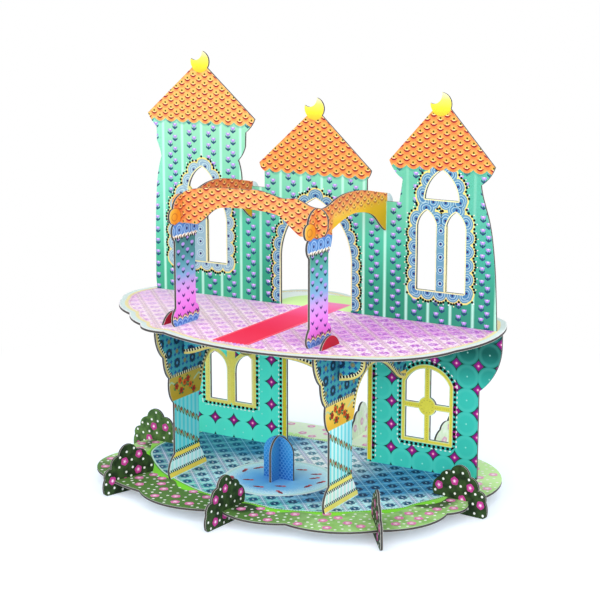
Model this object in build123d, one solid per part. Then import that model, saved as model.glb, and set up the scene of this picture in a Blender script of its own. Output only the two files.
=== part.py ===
from build123d import *
import math
import os

# Play castle of slotted greyboard: a garden plate on bush feet, a lower storey of a wall,
# two side panels and a front arch, a floor plate, and an upper storey built the same way.
# Millimetres. X runs along the walls, +Y to the back, +Z up, and z = 0 is the table.
# Every piece is laid out from the middle of the pond, and POND_PLACE then puts the origin
# under the middle of the whole.

# Board and its joints
BOARD = 2.5            # thickness of every piece
FIT = 0.1              # play on each side of a tab or crossing in its slot

# Heights
BASE_TOP = 14.0        # top face of the garden plate above the table
POND_PLACE = (-1.6, -43.3, 0)
LOWER_STOREY = 157.0   # clear height between the two plates
FLOOR_UNDER = BASE_TOP + LOWER_STOREY
FLOOR_TOP = FLOOR_UNDER + BOARD

# Places in plan, from the middle of the pond where the fountain stands
LOWER_WALL_Y = 94.0    # front face of the lower wall
UPPER_WALL_Y = 74.0    # front face of the upper wall
LOWER_COLUMN_X = 91.8  # the lower side panels stand at this distance each side of the middle
UPPER_COLUMN_X = 77.6
LOWER_COLUMN_RIGHT = -43.0   # where the lower front arch crosses the right panel
LOWER_COLUMN_LEFT = -31.0    # the left panels stand a little further back
UPPER_COLUMN_RIGHT = -60.0
UPPER_COLUMN_LEFT = -50.0
HOOK = 12.0            # how far a side panel reaches behind the wall that it hooks over

# Tabs
TAB_DEPTH = BOARD      # a hidden tab ends level with the far face of its plate
WALL_TAB = 22.0
COLUMN_TAB = 16.0
FOUNTAIN_TAB = 12.0
FLOOR_TAB_LENGTH = 34.0   # half-disc tab that stands up through the floor plate
FLOOR_TAB_RISE = 11.0

# Lower side panels
LOWER_SHAFT_FRONT = 19.0
LOWER_SHAFT_BACK = 24.0
LOWER_ARCH_TIP = 109.0    # lowest point of the side arch, at the wall
LOWER_ARCH_CROWN = 139.0
LOWER_LAP = 142.0         # height where the panel and the lower wall are lapped
LOWER_FRONT_LAP = 154.0   # the same for the panel and the lower front arch

# Upper storey. Its heights are drawn for a crown of DRAWN_CROWN, and stretched() fits them all
# to UPPER_CROWN, so wall, side panels and front arch keep together.
UPPER_CROWN = 308.5       # highest point of the side arches
DRAWN_CROWN = 308.5
UPPER_STRETCH = (UPPER_CROWN - FLOOR_TOP) / (DRAWN_CROWN - FLOOR_TOP)


def stretched(z):
    return FLOOR_TOP + (z - FLOOR_TOP) * UPPER_STRETCH


# Upper side panels
UPPER_SHAFT_FRONT = 14.6
UPPER_SHAFT_BACK = 19.0
UPPER_ARCH_TIP = 261.0    # lowest point of the side arch, at the wall
UPPER_LAP = stretched(277.0)         # height where the panel and the upper wall are lapped
UPPER_FRONT_LAP = stretched(288.0)   # the same for the panel and the upper front arch

# Front arches
UPPER_FRONT_REACH = 12.0  # how far the upper arch runs on past its crossing
LOWER_FRONT_REACH = 30.0

# Towers of the upper wall: middle line, roof apex, and the wall tops between them
LEFT_TOWER_X, LEFT_APEX = -139.0, 419.0
MIDDLE_TOWER_X, MIDDLE_APEX = -2.0, 377.0
RIGHT_TOWER_X, RIGHT_APEX = 138.0, 393.0
LEFT_WALL_TOP = 293.0
RIGHT_WALL_TOP = 290.0    # heights of this storey are those of the drawing, before stretched()
UPPER_WALL_HALF = 198.0
CRESCENT_R = 11.0
CRESCENT_CUT_R = 9.0
CRESCENT_SPREAD = 16.0    # distance between the crescent's two points

# Openings in the walls
UPPER_DOOR_HALF = 41.0
UPPER_DOOR_SPRING = 225.0
UPPER_DOOR_TOP = 286.5
RIGHT_LANCET = (20.5, 206.0, 268.5, 285.0)   # width, sill, springing, point
LEFT_LANCET = (24.0, 209.0, 252.0, 280.0)
RIGHT_MULLION = 10.5
LEFT_MULLION = 16.0
LOWER_DOOR_X = 1.0
LOWER_DOOR_HALF = 48.0
LOWER_DOOR_SPRING = 118.0
LOWER_DOOR_TOP = 150.0
LOWER_WALL_HALF = 173.0
BRACKET_REACH = 23.5      # how far the top corners of the lower wall flare out
BRACKET_FOOT = 105.0
LOWER_WINDOW_X = 117.0
LOWER_WINDOW_HALF = 24.3
LOWER_WINDOW_SILL = 47.5
LOWER_WINDOW_SPRING = 105.5
LOWER_WINDOW_TOP = 121.0
MUNTIN = 6.4
CROSS_MUNTIN_Z = 82.0
BOSS_R = 10.0
TWIN_WINDOW_X = -116.5
TWIN_LIGHT = 21.0
TWIN_MULLION = 11.0
TWIN_SILL = 54.5
TWIN_TOP = 107.0
TWIN_SHOULDER = 19.0

# Plates: their scalloped outlines are drawn for these widths along the walls
GARDEN_WIDTH = 399.3
DRAWN_GARDEN_WIDTH = 399.3
GARDEN_SCALE = GARDEN_WIDTH / DRAWN_GARDEN_WIDTH
FLOOR_WIDTH = 420.2
DRAWN_FLOOR_WIDTH = 420.2
FLOOR_SCALE = FLOOR_WIDTH / DRAWN_FLOOR_WIDTH

# Fountain
FOUNTAIN_WIDTH = 34.0
FOUNTAIN_TOP = BASE_TOP + 44.0
FOUNTAIN_LAP = BASE_TOP + 22.0

# Bush feet: one outline, seated round the garden plate
BUSH_LAP = 20.0           # the plate's slot and the bush's slot meet here
BUSH_FOOT_START = 12.0    # the jaw under the plate starts here
# inner end in plan, and the way the bush points, in degrees
BUSHES = {
    "bush_right": (154.0, 36.0, -6.5),
    "bush_front_right": (132.0, -49.0, -54.0),
    "bush_front": (7.0, -77.5, -94.5),
    "bush_front_left": (-122.5, -45.0, -109.0),
    "bush_left": (-150.5, 42.5, 177.0),
    "bush_back_left": (-95.0, 135.0, 108.0),
    "bush_back": (0.0, 150.0, 96.0),
    "bush_back_right": (92.0, 166.0, 74.0),
}


def bush_place(name):
    x, y, angle = BUSHES[name]
    return x * GARDEN_SCALE, y * GARDEN_SCALE, angle


def outline(start, *steps):
    """A closed flat face. A step is a point (straight run), a pair of points (arc through the
    first to the second) or a list of points (smooth curve through them all)."""
    edges = []
    here = start
    for step in steps:
        if isinstance(step, list):
            edges.append(Spline(here, *step))
            here = step[-1]
        elif isinstance(step[0], tuple):
            edges.append(ThreePointArc(here, *step))
            here = step[1]
        else:
            edges.append(Line(here, step))
            here = step
    if math.dist(here, start) > 1e-6:
        edges.append(Line(here, start))
    return make_face(edges)


def upper_outline(start, *steps):
    """An outline of the upper storey, with its drawn heights stretched."""
    def fitted(step):
        if isinstance(step, list):
            return [fitted(point) for point in step]
        if isinstance(step[0], tuple):
            return tuple(fitted(point) for point in step)
        return step[0], stretched(step[1])
    return outline(fitted(start), *(fitted(step) for step in steps))


def bar(x0, x1, y0, y1):
    """A plain rectangle between two corners."""
    return Pos((x0 + x1) / 2, (y0 + y1) / 2) * Rectangle(x1 - x0, y1 - y0)


def upright(face, x, y, angle=0.0):
    """Stands a flat face up as a board: its middle plane passes through (x, y), and the face's
    own x runs along the angle in plan."""
    a = math.radians(angle)
    along = (math.cos(a), math.sin(a), 0)
    out = (math.sin(a), -math.cos(a), 0)
    plane = Plane(origin=(x, y, 0), x_dir=along, z_dir=out)
    return extrude(plane * face, BOARD / 2, both=True)


def wall_board(face, front_y):
    return upright(face, 0, front_y + BOARD / 2)


def side_board(face, x):
    """A board across the walls, whose face is drawn as (y, z)."""
    return upright(face, x, 0, 90)


def lying(face, top):
    """A horizontal board with its upper side at the height given."""
    return Pos(0, 0, top - BOARD) * extrude(face, BOARD)


def plan_box(x, y, length, width, low, high, angle=0.0):
    """An upright box for cutting, centred on (x, y) and turned in plan."""
    height = high - low
    return Pos(x, y, low + height / 2) * Rot(0, 0, angle) * Box(length, width, height)


def crossing_slot(angle):
    """Slot width that lets one board through another at a small angle off square."""
    a = math.radians(abs(angle))
    return BOARD / math.cos(a) + BOARD * math.tan(a) + 2 * FIT


def front_line(column_x, left_y, right_y):
    """Middle, direction and half length of a front arch that joins two columns."""
    angle = math.degrees(math.atan2(right_y - left_y, 2 * column_x))
    half = math.hypot(column_x, (right_y - left_y) / 2)
    return (left_y + right_y) / 2, angle, half


SLOT = BOARD + 2 * FIT
LOWER_FRONT_Y, LOWER_SKEW, LOWER_HALF_SPAN = front_line(
    LOWER_COLUMN_X, LOWER_COLUMN_LEFT, LOWER_COLUMN_RIGHT)
UPPER_FRONT_Y, UPPER_SKEW, UPPER_HALF_SPAN = front_line(
    UPPER_COLUMN_X, UPPER_COLUMN_LEFT, UPPER_COLUMN_RIGHT)


# Plates

def scalloped(points, scale_by):
    """A cloud outline from pairs of notch and crest."""
    points = [tuple((x * scale_by, y * scale_by) for x, y in pair) for pair in points]
    steps = []
    for i, (_, crest) in enumerate(points):
        following = points[(i + 1) % len(points)][0]
        steps.append((crest, following))
    return outline(points[0][0], *steps)


def make_base_plate():
    face = scalloped([
        ((-99, -101), (-47, -123)),
        ((-1, -108), (38, -121)),
        ((73, -110), (113, -110)),
        ((155, -82), (183, -54)),
        ((190, -9), (199.5, 11)),
        ((193, 29), (199.5, 92)),
        ((145, 158), (104, 194)),
        ((45, 180), (4, 194)),
        ((-38, 176), (-92, 178)),
        ((-145, 148), (-195, 96)),
        ((-188, 43), (-193, 20)),
        ((-186, -4), (-187, -49)),
        ((-161, -78), (-130, -93)),
    ], GARDEN_SCALE)
    plate = lying(face, BASE_TOP)
    low = BASE_TOP - 2 * BOARD
    high = BASE_TOP + BOARD
    for name in BUSHES:
        x, y, angle = bush_place(name)
        reach = 40.0
        a = math.radians(angle)
        middle = BUSH_LAP + reach / 2
        plate -= plan_box(x + middle * math.cos(a), y + middle * math.sin(a),
                          reach, SLOT, low, high, angle)
    for x in wall_tabs_lower():
        plate -= plan_box(x, LOWER_WALL_Y + BOARD / 2, WALL_TAB + 2 * FIT, SLOT, low, high)
    for side, column in ((1, LOWER_COLUMN_RIGHT), (-1, LOWER_COLUMN_LEFT)):
        middle = column + (LOWER_SHAFT_BACK - LOWER_SHAFT_FRONT) / 2
        plate -= plan_box(side * LOWER_COLUMN_X, middle, SLOT, COLUMN_TAB + 2 * FIT, low, high)
    plate -= plan_box(0, 0, FOUNTAIN_TAB + 2 * FIT, SLOT, low, high)
    plate -= plan_box(0, 0, SLOT, FOUNTAIN_TAB + 2 * FIT, low, high)
    return plate


def make_floor_plate():
    face = scalloped([
        ((-76, -88), (26, -111)),
        ((129, -88), (174, -60)),
        ((197, -12), (209, 52)),
        ((190, 118), (137, 146)),
        ((75, 141), (38, 156)),
        ((0, 146), (-41, 154)),
        ((-78, 129), (-141, 128)),
        ((-196, 92), (-211, 54)),
        ((-199, 12), (-178, -19)),
        ((-152, -38), (-136, -57)),
        ((-115, -71), (-97, -87)),
    ], FLOOR_SCALE)
    plate = lying(face, FLOOR_TOP)
    low = FLOOR_UNDER - BOARD
    high = FLOOR_TOP + BOARD
    for side, column in ((1, LOWER_COLUMN_RIGHT), (-1, LOWER_COLUMN_LEFT)):
        start, end = floor_tab(column)
        plate -= plan_box(side * LOWER_COLUMN_X, (start + end) / 2,
                          SLOT, end - start + 2 * FIT, low, high)
    for side, column in ((1, UPPER_COLUMN_RIGHT), (-1, UPPER_COLUMN_LEFT)):
        middle = column + (UPPER_SHAFT_BACK - UPPER_SHAFT_FRONT) / 2
        plate -= plan_box(side * UPPER_COLUMN_X, middle, SLOT, COLUMN_TAB + 2 * FIT, low, high)
    for x in wall_tabs_upper():
        plate -= plan_box(x, UPPER_WALL_Y + BOARD / 2, WALL_TAB + 2 * FIT, SLOT, low, high)
    return plate


# Walls

def wall_tabs_lower():
    outer = (LOWER_WALL_HALF + LOWER_DOOR_HALF) / 2
    return (-outer, outer)


def wall_tabs_upper():
    outer = (UPPER_WALL_HALF + UPPER_DOOR_HALF) / 2
    return (-outer, outer)


def pointed_light(x, width, sill, spring, point):
    """A lancet: straight sides and two arcs that meet in a point."""
    half = width / 2
    rise = point - spring
    left = (x - 0.72 * half, spring + 0.55 * rise)
    right = (x + 0.72 * half, spring + 0.55 * rise)
    return outline((x - half, sill), (x - half, spring), (left, (x, point)),
                   (right, (x + half, spring)), (x + half, sill))


def arched_light(x, half, sill, spring, top):
    return outline((x - half, sill), (x - half, spring), ((x, top), (x + half, spring)),
                   (x + half, sill))


def pointed_door(x, half, sill, spring, top):
    shoulder = (0.8 * half, spring + 0.49 * (top - spring))
    return outline((x - half, sill), (x - half, spring),
                   ((x - shoulder[0], shoulder[1]), (x, top)),
                   ((x + shoulder[0], shoulder[1]), (x + half, spring)), (x + half, sill))


def three_sided_light(x, half, sill, top):
    """The small light over a pair of lancets: a flat sill and two bulging sides."""
    rise = top - sill
    return outline((x - half, sill), ((x - 0.78 * half, sill + 0.5 * rise), (x, top)),
                   ((x + 0.78 * half, sill + 0.5 * rise), (x + half, sill)))


def twin_light(x, inward):
    """A light whose head curves over towards the mullion; inward is 1 or -1."""
    outer = x - inward * TWIN_LIGHT / 2
    inner = x + inward * TWIN_LIGHT / 2
    bend = (inner - inward * 0.18 * TWIN_LIGHT, TWIN_TOP - 0.4 * TWIN_SHOULDER)
    crown = (outer + inward * 0.25 * TWIN_LIGHT, TWIN_TOP)
    return outline((outer, TWIN_SILL), (outer, TWIN_TOP - 4), (crown[0], crown[1]),
                   (bend, (inner, TWIN_TOP - TWIN_SHOULDER)), (inner, TWIN_SILL))


def make_lower_wall():
    half = LOWER_WALL_HALF
    wide = half + BRACKET_REACH
    top = FLOOR_UNDER
    foot = BRACKET_FOOT
    bulge = 0.49 * BRACKET_REACH
    face = outline((-half, BASE_TOP), (-half, foot),
                   [(-half - bulge, foot + 12), (-half - 0.87 * BRACKET_REACH, foot + 29),
                    (-wide, foot + 46)],
                   (-wide, top), (wide, top), (wide, foot + 46),
                   [(half + 0.87 * BRACKET_REACH, foot + 29), (half + bulge, foot + 12),
                    (half, foot)],
                   (half, BASE_TOP))
    for x in wall_tabs_lower():
        face += bar(x - WALL_TAB / 2, x + WALL_TAB / 2, BASE_TOP - TAB_DEPTH, BASE_TOP)
    face -= pointed_door(LOWER_DOOR_X, LOWER_DOOR_HALF, BASE_TOP - TAB_DEPTH,
                         LOWER_DOOR_SPRING, LOWER_DOOR_TOP)
    lights = arched_light(LOWER_WINDOW_X, LOWER_WINDOW_HALF, LOWER_WINDOW_SILL,
                          LOWER_WINDOW_SPRING, LOWER_WINDOW_TOP)
    lights -= bar(LOWER_WINDOW_X - MUNTIN / 2, LOWER_WINDOW_X + MUNTIN / 2,
                  LOWER_WINDOW_SILL, LOWER_WINDOW_TOP)
    lights -= bar(LOWER_WINDOW_X - LOWER_WINDOW_HALF, LOWER_WINDOW_X + LOWER_WINDOW_HALF,
                  CROSS_MUNTIN_Z - MUNTIN / 2, CROSS_MUNTIN_Z + MUNTIN / 2)
    lights -= Pos(LOWER_WINDOW_X, CROSS_MUNTIN_Z) * Circle(BOSS_R)
    face -= lights
    pitch = (TWIN_LIGHT + TWIN_MULLION) / 2
    face -= twin_light(TWIN_WINDOW_X - pitch, 1)
    face -= twin_light(TWIN_WINDOW_X + pitch, -1)
    wall = wall_board(face, LOWER_WALL_Y)
    for side in (-1, 1):
        wall -= plan_box(side * LOWER_COLUMN_X, LOWER_WALL_Y + BOARD / 2, SLOT, 3 * BOARD,
                         LOWER_LAP, FLOOR_UNDER + BOARD)
    return wall


def crescent(x, z, opening):
    """A fat crescent with its points at the side given by the angle opening, in degrees."""
    half = CRESCENT_SPREAD / 2
    reach = math.sqrt(CRESCENT_R ** 2 - half ** 2) + math.sqrt(CRESCENT_CUT_R ** 2 - half ** 2)
    a = math.radians(opening)
    cut = Pos(x + reach * math.cos(a), z + reach * math.sin(a)) * Circle(CRESCENT_CUT_R)
    return Pos(x, z) * Circle(CRESCENT_R) - cut


def left_tower_face():
    x = LEFT_TOWER_X
    return upper_outline((-UPPER_WALL_HALF + 1, FLOOR_TOP), (-UPPER_WALL_HALF, FLOOR_TOP + 12),
                         [(x - 58.5, 230), (x - 57, 273), (x - 54, 300), (x - 49.5, 317)],
                         [(x - 51.5, 325), (x - 55, 333)],
                         (x - 55, 347.5),
                         [(x - 60.5, 353), (x - 66, 361.5)],
                         (x, LEFT_APEX), (x + 66, 361.5),
                         [(x + 60, 352), (x + 55, 347.5)],
                         (x + 54.5, 333),
                         [(x + 51, 325), (x + 46, 318.5)],
                         [(x + 49, 308), (x + 50, LEFT_WALL_TOP)],
                         (x + 50, FLOOR_TOP))


def middle_face():
    x = MIDDLE_TOWER_X
    left = LEFT_TOWER_X + 50
    right = RIGHT_TOWER_X - 45
    return upper_outline((left - 1, FLOOR_TOP), (left - 1, LEFT_WALL_TOP), (x - 59, LEFT_WALL_TOP),
                         (x - 59, 310), [(x - 63, 313), (x - 65, 318.5)],
                         (x, MIDDLE_APEX), (x + 63.5, 318.5), [(x + 61.5, 313), (x + 59, 310)],
                         (x + 59, RIGHT_WALL_TOP), (right + 1, RIGHT_WALL_TOP), (right + 1, FLOOR_TOP))


def right_tower_face():
    x = RIGHT_TOWER_X
    return upper_outline((x - 45, FLOOR_TOP), (x - 45, RIGHT_WALL_TOP), (x - 41.5, 313),
                         [(x - 49, 319), (x - 53.5, 325), (x - 56.5, 331)],
                         (x, RIGHT_APEX), (x + 55.5, 331),
                         [(x + 52.5, 324.5), (x + 41.5, 313)],
                         [(x + 44.5, 299), (x + 50, 282), (x + 55, 257), (x + 58.5, 223),
                          (UPPER_WALL_HALF + 1, FLOOR_TOP)])


def make_upper_wall():
    face = left_tower_face() + middle_face() + right_tower_face()
    face += crescent(LEFT_TOWER_X, stretched(LEFT_APEX) - 1.5, 120)
    face += crescent(MIDDLE_TOWER_X - 1, stretched(MIDDLE_APEX) - 0.5, 120)
    face += crescent(RIGHT_TOWER_X - 2, stretched(RIGHT_APEX) - 5, 132)
    for x in wall_tabs_upper():
        face += bar(x - WALL_TAB / 2, x + WALL_TAB / 2, FLOOR_TOP - TAB_DEPTH, FLOOR_TOP)
    face -= pointed_door(-1, UPPER_DOOR_HALF, FLOOR_TOP - TAB_DEPTH,
                         stretched(UPPER_DOOR_SPRING), stretched(UPPER_DOOR_TOP))
    for x, mullion, lancet in ((LEFT_TOWER_X - 1, LEFT_MULLION, LEFT_LANCET),
                               (RIGHT_TOWER_X + 0.6, RIGHT_MULLION, RIGHT_LANCET)):
        width = lancet[0]
        heights = [stretched(z) for z in lancet[1:]]
        pitch = (mullion + width) / 2
        face -= pointed_light(x - pitch, width, *heights)
        face -= pointed_light(x + pitch, width, *heights)
    face -= three_sided_light(LEFT_TOWER_X + 1, 16.5, stretched(284.5), stretched(309))
    face -= three_sided_light(RIGHT_TOWER_X + 0.6, 18, stretched(296), stretched(325))
    wall = wall_board(face, UPPER_WALL_Y)
    for side, top in ((-1, LEFT_WALL_TOP), (1, RIGHT_WALL_TOP)):
        wall -= plan_box(side * UPPER_COLUMN_X, UPPER_WALL_Y + BOARD / 2, SLOT, 3 * BOARD,
                         UPPER_LAP, stretched(top) + BOARD)
    return wall


# Side panels: a column at the front and an arch that runs back and hooks over the wall

def floor_tab(column):
    """Where the half-disc tab starts and ends, just in front of the crossing slot."""
    end = column - crossing_slot(LOWER_SKEW) / 2
    return end - FLOOR_TAB_LENGTH, end


def make_lower_side(x, column):
    wall = LOWER_WALL_Y
    back = wall + BOARD + HOOK
    front = column - LOWER_SHAFT_FRONT
    rear = column + LOWER_SHAFT_BACK
    tab_start, tab_end = floor_tab(column)
    face = outline(
        (column - 27, BASE_TOP),
        [(column - 29.5, BASE_TOP + 7), (column - 27, BASE_TOP + 16), (front, BASE_TOP + 24)],
        (front, 91),
        [(column - 23.5, 96), (column - 27, 106), (column - 26.5, 117.5)],
        [(column - 31, 122.5), (column - 34.5, 131), (column - 36, 140.5)],
        [(column - 41.5, 146), (column - 46.5, 155), (column - 49, FLOOR_UNDER)],
        (tab_start, FLOOR_UNDER), (tab_start, FLOOR_TOP),
        (((tab_start + tab_end) / 2, FLOOR_TOP + FLOOR_TAB_RISE), (tab_end, FLOOR_TOP)),
        (tab_end, FLOOR_UNDER), (back, FLOOR_UNDER), (back, 152),
        ((back - 4, 138), (wall + BOARD + FIT, 128)),
        (wall, LOWER_ARCH_TIP),
        [(wall - 16, LOWER_ARCH_TIP + 4), (wall - 33, LOWER_ARCH_TIP + 16),
         (wall - 51, LOWER_ARCH_CROWN - 3.5), (column + 68, LOWER_ARCH_CROWN),
         (column + 46, LOWER_ARCH_CROWN - 8), (column + 34, LOWER_ARCH_CROWN - 22),
         (column + 29, 101), (rear, 91)],
        (rear, BASE_TOP + 24),
        [(column + 29, BASE_TOP + 15), (column + 35, BASE_TOP + 6), (column + 37.5, BASE_TOP)])
    middle = column + (LOWER_SHAFT_BACK - LOWER_SHAFT_FRONT) / 2
    face += bar(middle - COLUMN_TAB / 2, middle + COLUMN_TAB / 2, BASE_TOP - TAB_DEPTH, BASE_TOP)
    panel = side_board(face, x)
    panel -= plan_box(x, wall + BOARD / 2, 3 * BOARD, SLOT, 0, LOWER_LAP)
    panel -= plan_box(x, column, 3 * BOARD, crossing_slot(LOWER_SKEW),
                      LOWER_FRONT_LAP, FLOOR_TOP + FLOOR_TAB_RISE)
    return panel


def make_upper_side(x, column):
    wall = UPPER_WALL_Y
    back = wall + BOARD + HOOK
    front = column - UPPER_SHAFT_FRONT
    rear = column + UPPER_SHAFT_BACK
    crown = DRAWN_CROWN
    oval_top = crown - 6.5
    face = upper_outline(
        (column - 16, FLOOR_TOP),
        [(column - 20, FLOOR_TOP + 5), (column - 19, FLOOR_TOP + 12), (front, FLOOR_TOP + 18)],
        (front, 257),
        [(column - 18.5, 262), (column - 19.5, 268), (column - 16, 274)],
        [(column - 22.5, 277.5), (column - 23.5, 284), (column - 17, 289)],
        [(column - 15.5, 294), (column - 9, 300), (column, oval_top)],
        [(column + 18, oval_top - 1), (column + 32, crown - 3.5),
         (column + 58, crown), (wall - 44, crown - 2), (wall - 22, crown - 6),
         (wall + 2, crown - 10.5)],
        [(back - 4, crown - 14), (back, crown - 21)],
        (back, 284),
        ((back - 3, 274), (wall + BOARD + FIT, 268)),
        (wall, UPPER_ARCH_TIP),
        [(wall - 11, UPPER_ARCH_TIP + 7), (wall - 25, UPPER_ARCH_TIP + 18),
         (wall - 43, UPPER_ARCH_TIP + 24), (column + 62, UPPER_ARCH_TIP + 26),
         (column + 44, UPPER_ARCH_TIP + 22.5), (column + 26, UPPER_ARCH_TIP + 17)],
        [(column + 25.5, 268), (rear, 257)],
        (rear, FLOOR_TOP + 18),
        [(column + 24.5, FLOOR_TOP + 12), (column + 25, FLOOR_TOP + 6), (column + 21, FLOOR_TOP)])
    middle = column + (UPPER_SHAFT_BACK - UPPER_SHAFT_FRONT) / 2
    face += bar(middle - COLUMN_TAB / 2, middle + COLUMN_TAB / 2,
                FLOOR_TOP - TAB_DEPTH, FLOOR_TOP)
    panel = side_board(face, x)
    panel -= plan_box(x, wall + BOARD / 2, 3 * BOARD, SLOT, FLOOR_TOP, UPPER_LAP)
    panel -= plan_box(x, column, 3 * BOARD, crossing_slot(UPPER_SKEW),
                      UPPER_FRONT_LAP, UPPER_CROWN)
    return panel


# Front arches: they cross both columns and run on past them with rounded ends

def make_upper_front_arch():
    span = UPPER_HALF_SPAN
    end = span + UPPER_FRONT_REACH
    face = upper_outline(
        (0, 312),
        [(25, 310.5), (44, 307.5), (55, 308.5), (65, 305), (span, 302)],
        ((end - 3, 298.5), (end, 288)),
        ((end - 3, 278), (span, 274)),
        (span - 18, 274),
        [(span - 27, 280), (span - 39, 289.5), (span - 58, 293.5), (0, 294.5)],
        [(-span + 58, 293.5), (-span + 39, 289.5), (-span + 27, 280), (-span + 18, 274)],
        (-span, 274),
        ((-end + 3, 278), (-end, 288)),
        ((-end + 3, 298.5), (-span, 302)),
        [(-70, 306), (-55, 309), (-25, 311.5), (0, 312)])
    arch = upright(face, 0, UPPER_FRONT_Y, UPPER_SKEW)
    for side, column in ((1, UPPER_COLUMN_RIGHT), (-1, UPPER_COLUMN_LEFT)):
        arch -= plan_box(side * UPPER_COLUMN_X, column, crossing_slot(UPPER_SKEW), 4 * BOARD,
                         FLOOR_TOP, UPPER_FRONT_LAP)
    return arch


def make_lower_front_arch():
    span = LOWER_HALF_SPAN
    end = span + LOWER_FRONT_REACH
    top = FLOOR_UNDER
    face = outline(
        (-end + 1, top), (end - 1, top),
        [(end, top - 9), (end - 1, top - 19), (end - 9, top - 28), (span + 10, top - 32),
         (span, top - 34)],
        [(span - 14, top - 31), (span - 30, top - 25), (0.34 * span, top - 21), (0, top - 19)],
        [(-0.34 * span, top - 21), (-span + 30, top - 25), (-span + 14, top - 31),
         (-span, top - 34)],
        [(-span - 10, top - 32), (-end + 9, top - 28), (-end + 1, top - 19), (-end, top - 9),
         (-end + 1, top)])
    arch = upright(face, 0, LOWER_FRONT_Y, LOWER_SKEW)
    for side, column in ((1, LOWER_COLUMN_RIGHT), (-1, LOWER_COLUMN_LEFT)):
        arch -= plan_box(side * LOWER_COLUMN_X, column, crossing_slot(LOWER_SKEW), 4 * BOARD,
                         BASE_TOP, LOWER_FRONT_LAP)
    return arch


# Fountain and bushes

def make_fountain(across):
    """One of the fountain's two crossing boards. The one across the walls is slotted from below,
    the other from above."""
    half = FOUNTAIN_WIDTH / 2
    spring = FOUNTAIN_TOP - half
    face = outline((-half, BASE_TOP), (-half, spring), ((0, FOUNTAIN_TOP), (half, spring)),
                   (half, BASE_TOP))
    tab = FOUNTAIN_TAB / 2
    face += bar(-tab, tab, BASE_TOP - TAB_DEPTH, BASE_TOP)
    board = upright(face, 0, 0, 90 if across else 0)
    if across:
        low, high = BASE_TOP - 2 * TAB_DEPTH, FOUNTAIN_LAP
    else:
        low, high = FOUNTAIN_LAP, FOUNTAIN_TOP + BOARD
    return board - plan_box(0, 0, SLOT, 3 * BOARD, low, high, 90 if across else 0)


def make_bush(name):
    """A mound of scallops. Inside, it lies on the plate; outside, it reaches down to the table."""
    plate_under = BASE_TOP - BOARD
    face = outline(
        (1, BASE_TOP),
        ((-0.5, 24), (7.5, 33.5)),
        ((11.5, 39.5), (19.5, 41)),
        ((29, 48.5), (41, 38.5)),
        ((48, 35.5), (50.5, 26.5)),
        ((57, 24), (58.5, 16.5)),
        ((60.5, 8.5), (59.5, 2)),
        (56.5, 0),
        (BUSH_FOOT_START, 0),
        (BUSH_FOOT_START - 3, plate_under),
        (BUSH_LAP, plate_under),
        (BUSH_LAP, BASE_TOP))
    x, y, angle = bush_place(name)
    return upright(face, x, y, angle)


nodes = {
    "base_plate": make_base_plate(),
    "lower_wall": make_lower_wall(),
    "lower_side_panel_left": make_lower_side(-LOWER_COLUMN_X, LOWER_COLUMN_LEFT),
    "lower_side_panel_right": make_lower_side(LOWER_COLUMN_X, LOWER_COLUMN_RIGHT),
    "lower_front_arch": make_lower_front_arch(),
    "floor_plate": make_floor_plate(),
    "upper_wall": make_upper_wall(),
    "upper_side_panel_left": make_upper_side(-UPPER_COLUMN_X, UPPER_COLUMN_LEFT),
    "upper_side_panel_right": make_upper_side(UPPER_COLUMN_X, UPPER_COLUMN_RIGHT),
    "upper_front_arch": make_upper_front_arch(),
    "fountain_along": make_fountain(False),
    "fountain_across": make_fountain(True),
}
for bush in BUSHES:
    nodes[bush] = make_bush(bush)

os.makedirs("parts", exist_ok=True)
for name, solid in nodes.items():
    placed = Pos(*POND_PLACE) * solid
    placed.label = name
    export_step(placed, f"parts/{name}.step")
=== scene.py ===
import bisect
import functools
import math
import random
import numpy as np
import bpy
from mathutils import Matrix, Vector


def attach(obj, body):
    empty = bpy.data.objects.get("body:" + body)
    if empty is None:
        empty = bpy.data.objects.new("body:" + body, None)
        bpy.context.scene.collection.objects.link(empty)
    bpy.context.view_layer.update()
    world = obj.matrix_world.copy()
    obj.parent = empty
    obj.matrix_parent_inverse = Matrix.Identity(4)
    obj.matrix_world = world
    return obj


# Printed play castle of slotted greyboard. The boards come from the frame. This script gives
# them their print, lays the trims that follow their outlines, and sets camera, light and floor.
# Everything is worked out in millimetres from the middle of the pond.

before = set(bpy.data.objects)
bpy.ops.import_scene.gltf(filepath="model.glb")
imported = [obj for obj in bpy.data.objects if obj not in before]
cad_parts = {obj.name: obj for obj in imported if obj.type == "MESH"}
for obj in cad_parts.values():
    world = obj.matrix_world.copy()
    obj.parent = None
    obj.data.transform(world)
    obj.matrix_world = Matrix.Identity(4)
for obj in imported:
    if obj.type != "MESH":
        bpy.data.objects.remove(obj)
scene = bpy.context.scene
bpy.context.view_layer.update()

POND = (-1.6, -43.3)       # place of the pond's middle in the frame
HALF = 2.5 / 2             # half of a board's thickness
BASE_TOP, FLOOR_TOP = 14.0, 173.5
LOWER_WALL_FRONT, UPPER_WALL_FRONT = 94, 74
# the middles of the columns, and for each bush its place and turn
LOWER_COLUMNS = {"left": (-91.8, -31.0), "right": (91.8, -43.0)}
UPPER_COLUMNS = {"left": (-77.6, -50.0), "right": (77.6, -60.0)}
BUSHES = {
    "bush_right": (154.0, 36.0, -6.5),
    "bush_front_right": (132.0, -49.0, -54.0),
    "bush_front": (7.0, -77.5, -94.5),
    "bush_front_left": (-122.5, -45.0, -109.0),
    "bush_left": (-150.5, 42.5, 177.0),
    "bush_back_left": (-95.0, 135.0, 108.0),
    "bush_back": (0.0, 150.0, 96.0),
    "bush_back_right": (92.0, 166.0, 74.0),
}


# Boards and their outlines

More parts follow.
